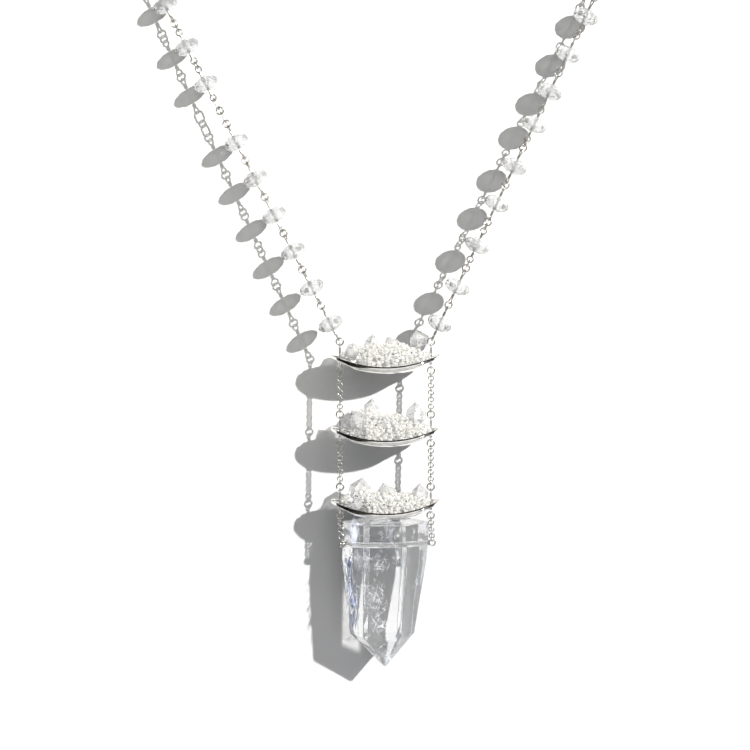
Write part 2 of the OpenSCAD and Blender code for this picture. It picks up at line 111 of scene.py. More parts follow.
def linear(hex_colour: str) -> tuple[float, float, float, float]:
    """Turns an sRGB hex colour into a linear one.

    Args:
        hex_colour: a colour such as "#E8E6E1".

    Returns:
        Linear red, green and blue, and an alpha of 1.
    """
    shares = [int(hex_colour[i : i + 2], 16) / 255 for i in (1, 3, 5)]
    red, green, blue = (c / 12.92 if c <= 0.04045 else ((c + 0.055) / 1.055) ** 2.4 for c in shares)
    return red, green, blue, 1.0


def add_node(
    tree: NodeTree,
    kind: str,
    inputs: dict[str | int, object] | None = None,
    stops: Sequence[tuple[float, str]] | None = None,
    **settings: object,
) -> Node:
    """Adds a node to a tree.

    Args:
        tree: the node tree.
        kind: Blender's name of the node's type, without the ShaderNode that starts them all.
        inputs: values for the node's inputs; a socket, or another node's first output, is linked.
        stops: for a colour ramp, its places from 0 to 1 with their sRGB colours, in rising order.
        settings: values for the node's own properties.

    Returns:
        The new node.
    """
    node = tree.nodes.new(f"ShaderNode{kind}")
    for name, value in settings.items():
        setattr(node, name, value)
    for key, value in (inputs or {}).items():
        if isinstance(value, Node):
            value = value.outputs[0]
        if isinstance(value, NodeSocket):
            tree.links.new(value, node.inputs[key])
        else:
            node.inputs[key].default_value = value
    if stops:
        elements = node.color_ramp.elements
        for element, (place, colour) in zip(elements, (stops[0], stops[-1])):
            element.position = place
            element.color = linear(colour)
        for place, colour in stops[1:-1]:
            elements.new(place).color = linear(colour)
    return node


@dataclass(frozen=True)
class Pattern:
    """Noise in the object's own space, whose blotches have a real size."""

    size_mm: float
    detail: float = 2.0

    def value(self, tree: NodeTree, low: float = 0.0, high: float = 1.0) -> NodeSocket:
        """Adds the pattern to a tree.

        Args:
            tree: the node tree.
            low: value where the noise is weakest.
            high: value where it is strongest.

        Returns:
            The socket of its value, from low to high.
        """
        place = add_node(tree, "TexCoord").outputs["Object"]
        waves = add_node(
            tree, "TexNoise", {"Vector": place, "Scale": 1 / (self.size_mm * MM), "Detail": self.detail}
        )
        weakest, strongest = NOISE_RANGE
        scaled = add_node(
            tree,
            "MapRange",
            {"Value": waves, "From Min": weakest, "From Max": strongest, "To Min": low, "To Max": high},
        )
        return scaled.outputs[0]


def new_material(name: str) -> tuple[Material, NodeTree]:
    """Makes an empty node material.

    Args:
        name: the finish's name.

    Returns:
        The material and its node tree.
    """
    material = bpy.data.materials.new(name)
    material.use_nodes = True
    material.node_tree.nodes.clear()
    return material, material.node_tree


# Kinds of finish


@dataclass(frozen=True)
class PolishedSilver:
    """Sterling silver, worked smooth."""

    name: str = "polished_sterling_silver"
    bright: str = "#FBFBFA"
    dull: str = "#E6E4E0"
    smooth: float = 0.04
    worn: float = 0.14
    blotch_mm: float = 1.6
    edge: str = "#FFFFFF"
    wave_mm: float = 4.0
    wave_height_mm: float = 0.02
    wave_strength: float = 0.35

    def material(self) -> Material:
        """Builds the finish.

        Returns:
            The material.
        """
        # Silver sends back nearly all light, slightly warm. Polishing leaves it a mirror with a gentle
        # unevenness that bends reflections, and faint duller blotches where fingers have touched it.
        material, tree = new_material(self.name)
        blotch = Pattern(self.blotch_mm, 4)
        tone = add_node(
            tree, "ValToRGB", {"Fac": blotch.value(tree)}, stops=[(0.2, self.bright), (1.0, self.dull)]
        )
        bump = add_node(
            tree,
            "Bump",
            {
                "Height": Pattern(self.wave_mm, 1).value(tree),
                "Strength": self.wave_strength,
                "Distance": self.wave_height_mm * MM,
            },
        )
        shader = add_node(
            tree,
            "BsdfPrincipled",
            {
                "Base Color": tone,
                "Metallic": 1.0,
                "Specular Tint": linear(self.edge),
                "Roughness": blotch.value(tree, self.smooth, self.worn),
                "Normal": bump,
            },
        )
        add_node(tree, "OutputMaterial", {"Surface": shader})
        return material


@dataclass(frozen=True)
class ClearQuartz:
    """Rock crystal, with cut or grown faces.

    Its shadow is lit either through the whole crystal, by lamp_middle and lamp_edge, or in one bright
    patch, whose sides patch_mm gives: left and right across the lamp's rays, then low and high.
    """

    name: str
    clear: str = "#FFFFFF"
    cloudy: str = "#EDF0F4"
    cloud_mm: float = 3.0
    smooth: float = 0.0
    frosted: float = 0.03
    grain_mm: float = 0.7
    grain_height_mm: float = 0.01
    grain_strength: float = 0.5
    speck_mm: float = 0.0
    speck_colour: str = "#2A2623"
    speck_range: tuple[float, float] = (0.88, 0.94)
    transmission: float = 1.0
    lamp_middle: str = ""
    lamp_edge: str = ""
    glow: float = 0.0
    glow_colour: str = "#F6F8FA"
    patch_mm: tuple[float, ...] = ()
    patch_soft_mm: tuple[float, ...] = (0.8, 2.0, 2.0, 6.0)
    patch_slant: float = 0.44
    patch_light: str = "#EEEEEE"
    ior: float = 1.544

    def colour(self, tree: NodeTree, clouds: Pattern) -> NodeSocket:
        """Adds the crystal's colour, with its clouds and specks.

        Args:
            tree: the material's node tree.
            clouds: where the crystal is cloudy.

        Returns:
            The socket of the colour.
        """
        clear = add_node(
            tree, "ValToRGB", {"Fac": clouds.value(tree)}, stops=[(0.3, self.clear), (1.0, self.cloudy)]
        ).outputs[0]
        if not self.speck_mm:
            return clear
        start, end = self.speck_range
        mask = add_node(
            tree,
            "MapRange",
            {"Value": Pattern(self.speck_mm, 1).value(tree), "From Min": start, "From Max": end},
            clamp=True,
        )
        specked = add_node(tree, "Mix", {0: mask, 6: clear, 7: linear(self.speck_colour)}, data_type="RGBA")
        return specked.outputs[2]

    def patch(self, tree: NodeTree) -> NodeSocket:
        """Adds the patch of light that the crystal gathers beside its own shadow.

        Args:
            tree: the material's node tree.

        Returns:
            The socket of the light that it lets through.
        """
        left, right, low, high = (side * MM for side in self.patch_mm)
        soft_left, soft_right, soft_low, soft_high = (soft * MM for soft in self.patch_soft_mm)
        across = (1.0, SIDE_SLOPE, 0.0)
        slanted = (self.patch_slant, RISE_SLOPE + self.patch_slant * SIDE_SLOPE, 1.0)
        upwards = (0.0, RISE_SLOPE, 1.0)
        place = add_node(tree, "TexCoord").outputs["Object"]
        parts = []
        for way, start, end in (
            (across, left, left + soft_left),
            (across, right, right - soft_right),
            (slanted, low, low + soft_low),
            (upwards, high, high - soft_high),
        ):
            along = add_node(tree, "VectorMath", {0: place, 1: way}, operation="DOT_PRODUCT")
            part = add_node(
                tree, "MapRange", {"Value": along.outputs["Value"], "From Min": start, "From Max": end}
            )
            parts.append(part.outputs[0])
        mask = parts[0]
        for part in parts[1:]:
            mask = add_node(tree, "Math", {0: mask, 1: part}, operation="MULTIPLY").outputs[0]
        light = add_node(tree, "ValToRGB", {"Fac": mask}, stops=[(0.0, "#000000"), (1.0, self.patch_light)])
        return light.outputs[0]

    def through(self, tree: NodeTree) -> NodeSocket:
        """Adds the share of the lamp's light that passes the whole crystal, less at its edges.

        Args:
            tree: the material's node tree.

        Returns:
            The socket of the light that it lets through.
        """
        slant = add_node(tree, "LayerWeight", {"Blend": 0.5}).outputs["Facing"]
        share = add_node(
            tree, "ValToRGB", {"Fac": slant}, stops=[(0.1, self.lamp_middle), (0.6, self.lamp_edge)]
        )
        return share.outputs[0]

    def material(self) -> Material:
        """Builds the finish.

        Returns:
            The material.
        """
        # Quartz is colourless and bends light by 1.544. Its faces carry faint growth or polishing lines,
        # its body has small clouds, and grown crystals hold black specks of carbon. A faint glow is painted
        # light that stands for the light that wanders inside it.
        material, tree = new_material(self.name)
        clouds = Pattern(self.cloud_mm, 3)
        bump = add_node(
            tree,
            "Bump",
            {
                "Height": Pattern(self.grain_mm, 2).value(tree),
                "Strength": self.grain_strength,
                "Distance": self.grain_height_mm * MM,
            },
        )
        surface = add_node(
            tree,
            "BsdfPrincipled",
            {
                "Base Color": self.colour(tree, clouds),
                "Transmission Weight": self.transmission,
                "IOR": self.ior,
                "Roughness": clouds.value(tree, self.smooth, self.frosted),
                "Normal": bump,
                "Emission Color": linear(self.glow_colour),
                "Emission Strength": self.glow,
            },
        ).outputs[0]
        if self.lamp_middle or self.patch_mm:
            light = self.patch(tree) if self.patch_mm else self.through(tree)
            shadow = add_node(tree, "LightPath").outputs["Is Shadow Ray"]
            film = add_node(tree, "BsdfTransparent", {"Color": light})
            mix = add_node(tree, "MixShader", {0: shadow, 1: surface, 2: film})
            surface = mix.outputs[0]
        add_node(tree, "OutputMaterial", {"Surface": surface})
        return material


@dataclass(frozen=True)
class VeilFlake:
    """A healed crack inside quartz, filled with tiny bubbles."""

    name: str = "bubble_veil_painted_glow"
    white: str = "#FFFFFF"
    grey: str = "#D9DEE6"
    bubble_mm: float = 0.35
    tone_mm: float = 1.4
    thin: float = 0.1
    thick: float = 0.9
    glow: float = 1.0
    roughness: float = 0.35

    def material(self) -> Material:
        """Builds the finish.

        Returns:
            The material.
        """
        # The bubbles scatter light, so a veil shows as a lacy white film that is clear between them. Its
        # glow is painted light, standing for the lamp's light that doesn't reach inside the glass
        material, tree = new_material(self.name)
        lace = Pattern(self.bubble_mm, 3)
        tone = add_node(
            tree,
            "ValToRGB",
            {"Fac": Pattern(self.tone_mm, 2).value(tree)},
            stops=[(0.0, self.white), (1.0, self.grey)],
        )
        shader = add_node(
            tree,
            "BsdfPrincipled",
            {
                "Base Color": tone,
                "Roughness": self.roughness,
                "Alpha": lace.value(tree, self.thin, self.thick),
                "Emission Color": tone,
                "Emission Strength": self.glow,
            },
        )
        add_node(tree, "OutputMaterial", {"Surface": shader})
        return material


@dataclass(frozen=True)
class StudioPaper:
    """White matt studio paper with a fine tooth, painted a little greyer downwards between two given
    heights: painted shade that darkens the lower shadows.
    """

    name: str = "white_studio_paper"
    white: str = "#F7F7F6"
    shade: str = "#F3F3F2"
    lower: str = "#E1E2E5"
    painted_shade_from: float = -0.185
    painted_shade_to: float = -0.225
    tooth_mm: float = 1.2
    roughness: float = 0.9
    one_sided: bool = True
    seen_light: float = 0.0

    def material(self) -> Material:
        """Builds the finish.

        Returns:
            The material.
        """
        # Uncoated paper has no shine. The backdrop shows from the front alone, so that the back of the
        # necklace can be seen too, and the floor has some light of its own for the camera.
        material, tree = new_material(self.name)
        tone = add_node(
            tree,
            "ValToRGB",
            {"Fac": Pattern(self.tooth_mm, 3).value(tree)},
            stops=[(0.0, self.white), (1.0, self.shade)],
        )
        # Lower down the paper is painted greyer: painted shade that darkens the shadows low on the backdrop
        place = add_node(tree, "TexCoord").outputs["Object"]
        height = add_node(tree, "SeparateXYZ", {0: place}).outputs["Z"]
        fade = add_node(
            tree, "MapRange", {"Value": height, "From Min": self.painted_shade_from, "From Max": self.painted_shade_to}
        )
        sheet = add_node(
            tree, "Mix", {0: fade, 6: tone, 7: linear(self.lower)}, data_type="RGBA"
        ).outputs[2]
        surface = add_node(
            tree,
            "BsdfPrincipled",
            {"Base Color": sheet, "Roughness": self.roughness, "Emission Color": sheet},
        ).outputs[0]
        if self.seen_light:
            seen = add_node(tree, "LightPath").outputs["Is Camera Ray"]
            glow = add_node(tree, "Math", {0: seen, 1: self.seen_light}, operation="MULTIPLY")
            tree.links.new(glow.outputs[0], surface.node.inputs["Emission Strength"])
        if self.one_sided:
            back = add_node(tree, "NewGeometry").outputs["Backfacing"]
            film = add_node(tree, "BsdfTransparent")
            mix = add_node(tree, "MixShader", {0: back, 1: surface, 2: film})
            surface = mix.outputs[0]
        add_node(tree, "OutputMaterial", {"Surface": surface})
        return material


# The necklace's own finishes

# Cast silver, polished to a mirror: the trays and their pins
TRAY_SILVER = PolishedSilver()
# Silver dulled and painted a deep grey: a painted dark reflection along a tray's front rim and in the
# hollow just behind it
PAINTED_REFLECTION_SILVER = PolishedSilver(
    "painted_dark_reflection_silver", bright="#6A655E", dull="#2A2724", smooth=0.2, worn=0.4, blotch_mm=1.2
)
# Drawn and tumbled wire: a satin sheen that makes the fine chains look greyer than the trays
WIRE_SILVER = PolishedSilver(
    "drawn_silver_wire",
    bright="#DCDAD7",
    dull="#AAA7A2",
    edge="#908C86",
    smooth=0.12,
    worn=0.28,
    blotch_mm=0.5,
)
# Cut and polished beads: bright facets, slightly milky, over a plain grey shadow
BEAD_QUARTZ = ClearQuartz(
    "cut_quartz_beads",
    clear="#FAFBFC",
    cloudy="#E9ECEF",
    cloud_mm=2.0,
    transmission=0.72,
    lamp_middle="#888888",
    lamp_edge="#404040",
)
# Grown crystals: clear in part, with clouds, growth lines and black carbon specks, and a faint painted glow
STONE_QUARTZ = ClearQuartz(
    "grown_quartz_crystals",
    clear="#EEEEEC",
    cloudy="#D6D8DA",
    cloud_mm=1.2,
    frosted=0.05,
    grain_mm=0.45,
    grain_height_mm=0.05,
    speck_mm=0.5,
    transmission=0.62,
    lamp_middle="#B8B8B8",
    lamp_edge="#9A9A9A",
    glow=0.07,
)
# Small crystals: their many frosted faces scatter the light, so the heap looks white and grainy; a painted
# glow stands for the light that passes between them
BED_QUARTZ = ClearQuartz(
    "small_quartz_crystals",
    clear="#E9E8E4",
    cloudy="#D4D2CC",
    cloud_mm=0.9,
    smooth=0.06,
    frosted=0.24,
    grain_height_mm=0.02,
    speck_mm=0.8,
    transmission=0.5,
    lamp_middle="#F0F0F0",
    lamp_edge="#DCDCDC",
    glow=0.11,
)
# The polished point: glassy and nearly clean, with a bright patch of light beside its shadow and a faint
# painted glow
POINT_QUARTZ = ClearQuartz(
    "polished_quartz_point",
    cloud_mm=9.0,
    grain_mm=3.0,
    transmission=0.94,
    glow=0.04,
    patch_mm=(-0.6, 5.8, -245.4, -225.5),
)
# Healed cracks: lacy white films, lit by a painted glow
WHITE_VEIL = VeilFlake()
# Thinner ones: a pale mist, whose glow is painted light that brightens the point, most at its upper left
PALE_MIST_AND_GLOW = VeilFlake("pale_mist_painted_glow", grey="#D8DEF6", thin=0.0, thick=0.5, glow=0.8)
# Flakes along the left face, painted a faintly glowing dark blue: a painted reflection of the blue streaks
# on that face
BLUE_REFLECTION_FLAKES = VeilFlake("painted_blue_reflection", white="#27345A", grey="#8894B8", thin=0.2, thick=1.0, glow=0.35)
# The sheet close behind the necklace, lit nearly to white
BACKDROP_PAPER = StudioPaper()
# The floor far below, pale grey
FLOOR_PAPER = StudioPaper(
    "pale_floor", white="#C4C4C2", shade="#BCBCBA", lower="#C0C0BE", one_sided=False, seen_light=0.7
)


# Mesh helpers


def finish_object(name: str, bm: bmesh.types.BMesh, material: Material, smooth: bool = True) -> Object:
    """Turns a bmesh into an object in the scene.

    Args:
        name: the piece's name.
        bm: its mesh, which is freed.
        material: its finish.
        smooth: whether its faces are shaded smooth.

    Returns:
        The object, at the origin.
    """
    for face in bm.faces:
        face.smooth = smooth
    mesh = bpy.data.meshes.new(name)
    bm.to_mesh(mesh)
    bm.free()
    mesh.materials.append(material)
    made = bpy.data.objects.new(name, mesh)
    bpy.context.scene.collection.objects.link(made)
    return made


def islands(source: Object) -> list[np.ndarray]:
    """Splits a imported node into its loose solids.

    Args:
        source: the node's object, which is only read.

    Returns:
        The vertices of each solid, as an array with three columns.
    """
    bm = bmesh.new()
    bm.from_mesh(source.data)
    bmesh.ops.remove_doubles(bm, verts=bm.verts, dist=MERGE_MM * MM)
    seen: set[bmesh.types.BMVert] = set()
    found = []
    for start in bm.verts:
        if start in seen:
            continue
        seen.add(start)
        group, todo = [], [start]
        while todo:
            vert = todo.pop()
            group.append(tuple(vert.co))
            for edge in vert.link_edges:
                other = edge.other_vert(vert)
                if other not in seen:
                    seen.add(other)
                    todo.append(other)
        found.append(np.array(group))
    bm.free()
    return found


def short_axis(points: np.ndarray) -> tuple[Vector, Vector]:
    """Finds the middle of a flat solid and the direction in which it is thinnest.

    Args:
        points: the solid's vertices.

    Returns:
        Its middle and a unit vector.
    """
    middle = points.mean(axis=0)
    _, turns = np.linalg.eigh(np.cov((points - middle).T))
    return Vector(middle), Vector(turns[:, 0]).normalized()


def stamp(bm: bmesh.types.BMesh, mesh: Mesh, matrix: Matrix) -> None:
    """Adds a copy of a mesh to a bmesh.

    Args:
        bm: the bmesh that grows.
        mesh: what is added.
        matrix: where the copy goes.
    """
    start = len(bm.verts)
    bm.from_mesh(mesh)
    bm.verts.ensure_lookup_table()
    bmesh.ops.transform(bm, matrix=matrix, verts=bm.verts[start:])


def facing(middle: Vector, axis: Vector) -> Matrix:
    """Gives the transform that puts a shape at middle with its Z along axis."""
    return Matrix.Translation(middle) @ axis.to_track_quat("Z", "X").to_matrix().to_4x4()


def tray_middle(node: str) -> Vector:
    """Gives the middle of a packed tray at the level of its tips."""
    low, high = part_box(node)
    return Vector(((low.x + high.x) / 2, (low.y + high.y) / 2, high.z))


def smooth_step(a: float, b: float, t: float) -> float:
    """Rises smoothly from 0 at a to 1 at b."""
    u = min(max((t - a) / (b - a), 0.0), 1.0)
    return u * u * (3 - 2 * u)


# Pieces of the necklace


@dataclass
class BeadWires:
    """The wire wraps beside each bead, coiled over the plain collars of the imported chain."""

    wire_mm: float = 0.22
    core_mm: float = 0.72
    from_middle_mm: float = 2.52
    length_mm: float = 1.08
    turns: int = 4
    steps: int = 14
    sides: int = 6

    def coil(self) -> Mesh:
        """Builds one coil along Z about the origin.

        Returns:
            Its mesh.
        """
        bm = bmesh.new()
        made = bmesh.ops.create_circle(bm, segments=self.sides, radius=self.wire_mm * MM / 2)
        centre = Vector((self.core_mm * MM / 2, 0, 0))
        rise = self.length_mm * MM - self.wire_mm * MM
        bmesh.ops.rotate(bm, verts=made["verts"], matrix=Matrix.Rotation(math.pi / 2, 3, "X"))
        bmesh.ops.translate(bm, verts=made["verts"], vec=centre - Vector((0, 0, rise / 2)))
        count = self.turns * self.steps
        bmesh.ops.spin(
            bm,
            geom=bm.edges[:],
            cent=(0, 0, 0),
            axis=(0, 0, 1),
            dvec=(0, 0, rise / count),
            angle=math.tau * self.turns,
            steps=count,
            use_merge=False,
        )
        bmesh.ops.holes_fill(bm, edges=[e for e in bm.edges if e.is_boundary], sides=0)
        bmesh.ops.recalc_face_normals(bm, faces=bm.faces)
        mesh = bpy.data.meshes.new("coil")
        bm.to_mesh(mesh)
        bm.free()
        return mesh

    def beside(self, beads: Object) -> list[tuple[Vector, Vector]]:
        """Finds where the two wraps of each bead go.

        Args:
            beads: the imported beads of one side, which are only read.

        Returns:
            The middle and the direction of each wrap.
        """
        places = []
        for points in islands(beads):
            middle, axis = short_axis(points)
            for side in Side:
                places.append((middle + axis * (side.value * self.from_middle_mm * MM), axis))
        return places

    def build(self, name: str, places: list[tuple[Vector, Vector]], material: Material) -> Object:
        """Puts a coil at each place.

        Args:
            name: the piece's name.
            places: the middle and the direction of each coil.
            material: the wire's finish.

        Returns:
            All the coils as one piece.
        """
        coil = self.coil()
        bm = bmesh.new()
        for place, axis in places:
            stamp(bm, coil, facing(place, axis))
        bpy.data.meshes.remove(coil)
        piece = finish_object(name, bm, material)
        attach(piece, "necklace")
        return piece


@dataclass
class Tray:
    """A long oval tray with a hollowed bowl, a soft rim and turned-up ends.

    Places along it are t, from -1 at the left tip to 1 at the right one. shade_mm gives, at some of
    them, how far the painted dark reflection reaches down the front of the rim.
    """

    length_mm: float = 27.5
    depth_mm: float = 13.2
    wall_mm: float = 0.8
    bowl_mm: float = 2.2
    sag_mm: float = 2.6
    sag_power: float = 1.2
    plan_power: float = 3.2
    plan_round: float = 0.52
    bowl_from: float = 0.5
    bowl_to: float = 0.95
    tip_share: float = 0.995
    squareness: float = 3.0
    crown_mm: float = 0.7
    thinnest_wall: float = 0.45
    least_drop: float = 0.3
    most_shade: float = 0.75
    stations: int = 96
    shade_steps: int = 6
    outer_steps: int = 12
    inner_steps: int = 18
    crown_steps: int = 4
    shade_mm: tuple[tuple[float, float], ...] = (
        (-1.0, 0.0), (-0.9, 0.1), (-0.78, 0.6), (-0.64, 1.0), (-0.5, 0.95),
        (-0.35, 0.58), (-0.22, 0.36), (0.0, 0.3), (0.35, 0.3), (0.52, 0.26),
        (0.6, 0.12), (0.7, 0.15), (0.78, 0.5), (0.88, 0.4), (0.96, 0.0),
    )

    def half_width(self, t: float) -> float:
        """Half the tray's width at t, in millimetres."""
        return self.depth_mm / 2 * (1 - min(abs(t), 1.0) ** self.plan_power) ** self.plan_round

    def bowl(self, t: float) -> float:
        """Depth of the bowl's inside at t, in millimetres."""
        return (self.bowl_mm - self.wall_mm) * (1 - smooth_step(self.bowl_from, self.bowl_to, abs(t)))

    def rim(self, t: float) -> float:
        """Height of the rim at t against the tips, in millimetres."""
        return -self.sag_mm * (1 - t * t) ** self.sag_power

    def shade(self, t: float) -> float:
        """How far the painted dark reflection reaches down the front of the rim at t, in millimetres."""
        return float(np.interp(t, [s[0] for s in self.shade_mm], [s[1] for s in self.shade_mm]))

    def outline(self, t: float) -> list[Vector]:
        """Works out the tray's section at t.

        Args:
            t: the place along the tray.

        Returns:
            The section's points in millimetres: down the front, with shade_steps of them in the painted
            dark reflection, under the belly, up to the back rim and along the hollow to the front rim.
        """
        outer = self.half_width(t)
        wall = min(self.wall_mm, outer * self.thinnest_wall)
        crown = self.crown_mm * wall / self.wall_mm
        level = self.rim(t) - crown
        drop = max(self.bowl(t) + wall - crown, self.least_drop * wall)
        dark = min(self.shade(t), self.most_shade * (crown + drop))
        if dark < crown:
            end = math.acos(1 - dark / crown)
        else:
            end = math.pi / 2 + math.asin((dark - crown) / drop)
        turns = [end * i / self.shade_steps for i in range(self.shade_steps)]
        turns += [end + (math.pi - end) * i / self.outer_steps for i in range(self.outer_steps)]
        places = []
        for turn in turns:
            if turn < math.pi / 2:
                places.append((-outer + wall / 2 * (1 - math.sin(turn)), crown * math.cos(turn)))
            else:
                places.append((-outer * math.sin(turn), drop * math.cos(turn)))
        for i in range(self.outer_steps):
            turn = math.pi / 2 * i / self.outer_steps
            places.append((outer * math.sin(turn), -drop * math.cos(turn)))
        for i in range(2 * self.crown_steps):
            turn = math.pi / 2 * i / self.crown_steps
            places.append((outer - wall / 2 * (1 - math.cos(turn)), crown * math.sin(turn)))
        for i in range(self.inner_steps):
            share = math.cos(math.pi * i / self.inner_steps)
            depth = max(drop - wall, 0.0) * (1 - abs(share) ** self.squareness) ** (1 / self.squareness)
            places.append(((outer - wall) * share, -depth))
        for i in range(self.crown_steps + 1):
            turn = math.pi / 2 * i / self.crown_steps
            places.append((-outer + wall / 2 * (1 + math.cos(turn)), crown * math.sin(turn)))
        return [Vector((t * self.length_mm / 2, y, level + z)) for y, z in places]

    def build(self, node: str, material: Material, dark: Material) -> Object:
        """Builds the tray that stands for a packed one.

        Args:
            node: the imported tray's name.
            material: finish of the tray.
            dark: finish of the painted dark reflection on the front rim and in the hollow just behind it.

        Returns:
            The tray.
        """
        rows = len(self.outline(0.0)) - 1
        bright_end = rows - self.crown_steps - self.inner_steps // 4
        bm = bmesh.new()
        made = bmesh.ops.create_grid(bm, x_segments=self.stations, y_segments=rows, size=1.0)
        # Faces down the front of the rim, and along its inner side into the front of the hollow, take the
        # second finish: a painted dark reflection
        for face in bm.faces:
            row = (face.calc_center_median().y + 1) / 2 * rows
            face.material_index = int(not self.shade_steps < row < bright_end)
        for vert in made["verts"]:
            t = self.tip_share * math.sin(vert.co.x * math.pi / 2)
            vert.co = self.outline(t)[round((vert.co.y + 1) / 2 * rows)]
        bmesh.ops.remove_doubles(bm, verts=bm.verts, dist=MERGE_MM)
        bmesh.ops.holes_fill(bm, edges=[e for e in bm.edges if e.is_boundary], sides=0)
        bmesh.ops.recalc_face_normals(bm, faces=bm.faces)
        matrix = Matrix.Translation(tray_middle(node)) @ Matrix.Scale(MM, 4)
        bmesh.ops.transform(bm, matrix=matrix, verts=bm.verts)
        piece = finish_object(f"{node}_shell", bm, material)
        piece.data.materials.append(dark)
        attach(piece, "necklace")
        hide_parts(node)
        return piece


@dataclass
class CrystalBed:
    """Small quartz crystals that fill a tray between its larger stones, dropped on one by one.

    The shares are of a crystal's size: the ground that it covers, how far it raises the heap, where
    its middle then lies, and how far it keeps from the wall. The gaps are bare strips at the tray's ends
    and front, where left_gap_mm is the front one at the left.
    """

    tray: Tray
    profile: list[tuple[float, float]]
    seed: int
    attempts: int = 4600
    smallest_mm: float = 0.7
    largest_mm: float = 2.0
    likely_mm: float = 1.0
    cell_mm: float = 0.25
    half_x_mm: float = 11.6
    half_y_mm: float = 6.5
    end_gap_mm: float = 0.6
    front_gap_mm: float = 0.1
    left_gap_mm: float = 4.6
    left_gap_reach_mm: tuple[float, float] = (2.5, 8.0)
    flank_share: float = 0.75
    flank_drop_mm: float = 1.1
    cover_share: float = 0.42
    lift_share: float = 0.62
    seat_share: float = 0.55
    wall_share: float = 0.55
    probe_mm: float = 20.0

    def crystal(self) -> Mesh:
        """Builds one crystal with six sides and a point at both ends, 1 across and about the origin.

        Returns:
            Its mesh.
        """
        bm = bmesh.new()
        bmesh.ops.create_cone(
            bm, cap_ends=True, cap_tris=True, segments=6, radius1=0.42, radius2=0.47, depth=0.4
        )
        for vert in bm.verts:
            if Vector(vert.co.xy).length < 0.01:
                vert.co.z += math.copysign(0.38, vert.co.z)
                vert.co.x += 0.06
        mesh = bpy.data.meshes.new("small_crystal")
        bm.to_mesh(mesh)
        bm.free()
        return mesh

    def floor(self, x: float, y: float) -> float:
        """Measures the tray's inside.

        Args:
            x: the place along the tray, in millimetres from its middle.
            y: the place across it.

        Returns:
            The height of its floor against the tips, in millimetres.
        """
        t = min(abs(x) / (self.tray.length_mm / 2), 1.0)
        inner = self.tray.half_width(t) - self.tray.wall_mm
        share = min(abs(y) / inner, 1.0) if inner > 0 else 1.0
        return self.tray.rim(t) - self.tray.bowl(t) * math.sqrt(1 - share * share)

    def ground(self, middle: Vector, stones: list[Object]) -> tuple[np.ndarray, np.ndarray, np.ndarray]:
        """Measures the tray and its stones from above.

        Args:
            middle: the tray's middle at the level of its tips.
            stones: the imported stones, which are only read.

        Returns:
            The heights on a grid, in millimetres, and the grid's x and y.
        """
        xs = np.arange(-self.half_x_mm, self.half_x_mm, self.cell_mm)
        ys = np.arange(-self.half_y_mm, self.half_y_mm, self.cell_mm)
        trees = []
        for stone in stones:
            bm = bmesh.new()
            bm.from_mesh(stone.data)
            trees.append(BVHTree.FromBMesh(bm))
            bm.free()
        heights = np.array([[self.floor(x, y) for y in ys] for x in xs])
        for i, x in enumerate(xs):
            for j, y in enumerate(ys):
                start = middle + Vector((x, y, self.probe_mm)) * MM
                for tree in trees:
                    hit = tree.ray_cast(start, Vector((0, 0, -1)))[0]
                    if hit:
                        heights[i, j] = max(heights[i, j], (hit.z - middle.z) / MM)
        return heights, xs, ys

    def top(self, x: float, y: float) -> float:
        """Works out how high the heap may be, which falls from the tray's long middle to its flanks.

        Args:
            x: the place along the tray, in millimetres from its middle.
            y: the place across it.

        Returns:
            The highest place that a small crystal may reach, in millimetres above the tips.
        """
        ridge = float(np.interp(x, [p[0] for p in self.profile], [p[1] for p in self.profile]))
        low = 1 - self.flank_share * smooth_step(1.0, 6.0, abs(y))
        return ridge * low - self.flank_drop_mm * smooth_step(1.5, 6.0, abs(y))

    def build(self, node: str, stones: list[Object], material: Material) -> Object:
        """Fills a tray.

        Args:
            node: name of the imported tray.
            stones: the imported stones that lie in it.
            material: the crystals' finish.

        Returns:
            All the small crystals as one piece.
        """
        middle = tray_middle(node)
        heights, xs, ys = self.ground(middle, stones)
        crystal = self.crystal()
        dice = random.Random(self.seed)
        far_x = self.half_x_mm - self.end_gap_mm
        bm = bmesh.new()
        for _ in range(self.attempts):
            x = dice.uniform(-far_x, far_x)
            size = dice.triangular(self.smallest_mm, self.largest_mm, self.likely_mm)
            wall = self.tray.wall_mm + size * self.wall_share
            reach = self.tray.half_width(x / (self.tray.length_mm / 2)) - wall
            if reach <= 0:
                continue
            y = dice.uniform(-reach, reach)
            if y + reach < self.front_gap_mm + self.left_gap_mm * smooth_step(*self.left_gap_reach_mm, -x):
                continue
            near = (xs[:, None] - x) ** 2 + (ys[None, :] - y) ** 2 < (size * self.cover_share) ** 2
            base = float(heights[near].max()) if near.any() else self.floor(x, y)
            lift = size * self.lift_share
            if base + lift > self.top(x, y):
                continue
            heights[near] = base + lift
            heading = Matrix.Rotation(dice.uniform(0, math.tau), 4, "Z")
            lean = Matrix.Rotation(dice.uniform(0.9, 1.57), 4, "X")
            shape = (size * 0.85, size * dice.uniform(0.7, 0.9), size * dice.uniform(0.8, 1.1), 1)
            roll = Matrix.Rotation(dice.uniform(0, 1), 4, "Z")
            place = middle + Vector((x, y, base + lift * self.seat_share)) * MM
            matrix = Matrix.Translation(place) @ heading @ lean @ roll @ Matrix.Scale(MM, 4)
            stamp(bm, crystal, matrix @ Matrix.Diagonal(shape))
        bpy.data.meshes.remove(crystal)
        piece = finish_object(f"bed_{node.removeprefix('tray_')}", bm, material, smooth=False)
        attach(piece, "necklace")
        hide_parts(node.replace("tray_", "chips_"))
        return piece


@dataclass(frozen=True)
class FlakeGroup:
    """A loose group of flakes: its middle and its size in millimetres, and how many there are.

    The middle is measured from the pendant's middle at the level of the lowest tray's tips.
    """

    x: float
    z: float
    y: float
    size: float
    count: int


